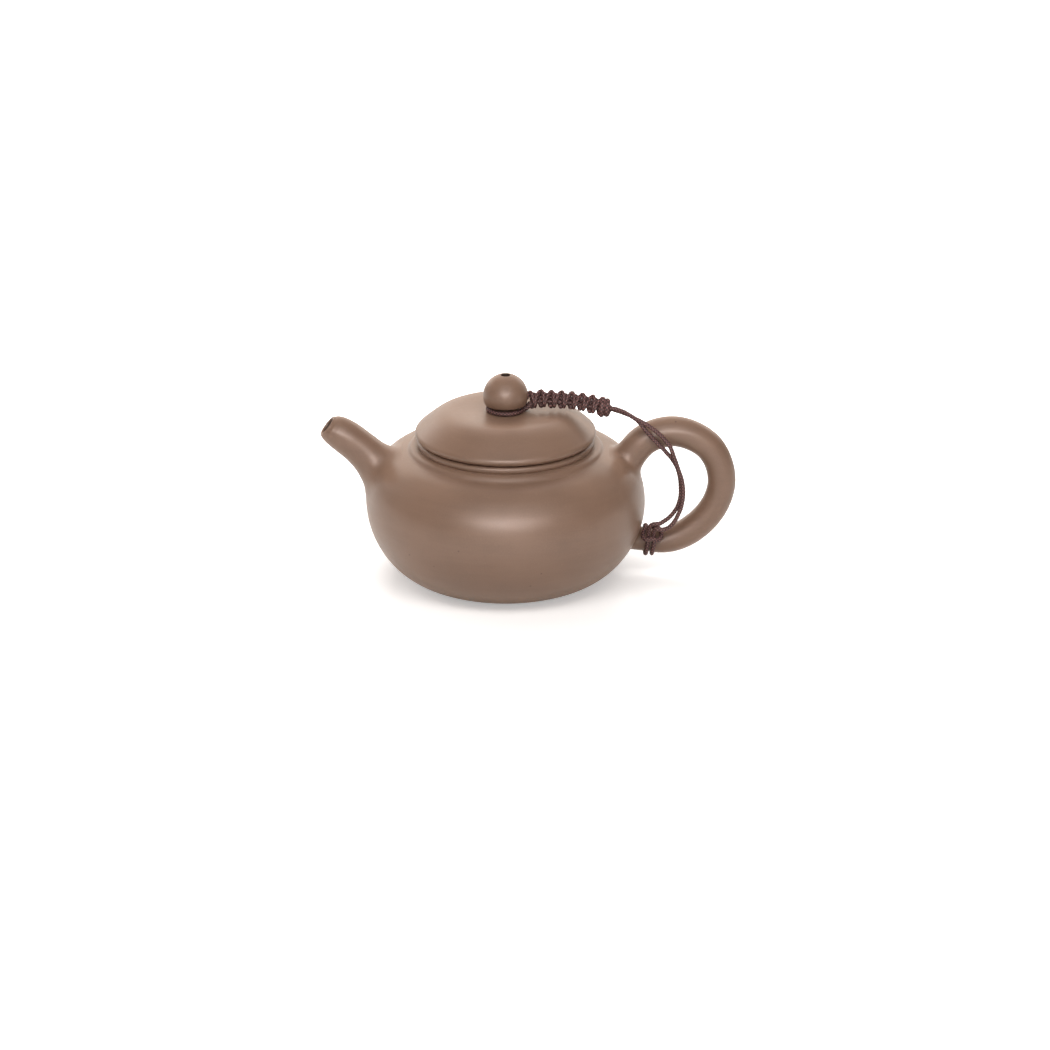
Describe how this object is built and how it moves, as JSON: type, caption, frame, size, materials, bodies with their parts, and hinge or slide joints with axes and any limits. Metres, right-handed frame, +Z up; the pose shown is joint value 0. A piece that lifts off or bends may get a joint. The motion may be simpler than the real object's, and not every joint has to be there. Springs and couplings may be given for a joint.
{
  "type": "teapot",
  "caption": "Small unglazed clay teapot with a short spout, an ear-shaped loop handle and a lift-off ball-knob lid tied to the handle's foot by a braided cord",
  "frame": {"origin": "Centre of the flat base, on the pot's axis.", "axes": "+X runs from the spout to the handle, which is the longest way. +Z is up. +Y is away from the side that the picture shows."},
  "size_m": [0.1288, 0.0868, 0.0656],
  "materials": {
    "clay": "unglazed, satin matt",
    "cord": "fine braided cord, matt"
  },
  "bodies": {
    "pot": {"pot_body": "clay", "mouth_collar": "clay", "spout": "clay", "spout_strainer": "clay", "handle": "clay", "cord_strand_front": "cord", "cord_strand_rear": "cord", "cord_hitch": "cord"},
    "tether": {"cord_neck_loop": "cord", "cord_braid": "cord"},
    "lid": {"lid_plate": "clay", "lid_flange": "clay", "lid_knob": "clay"}
  },
  "joints": [
    {"name": "lid_lift", "type": "slide", "parent": "pot", "child": "tether", "axis": [0, 0, 1], "range_m": [0, 0.012], "deforming": ["cord_strand_front", "cord_strand_rear"]},
    {"name": "lid_turn", "type": "hinge", "parent": "tether", "child": "lid", "pos_m": [0, 0, 0.0536], "axis": [0, 0, 1], "continuous": true}
  ]
}
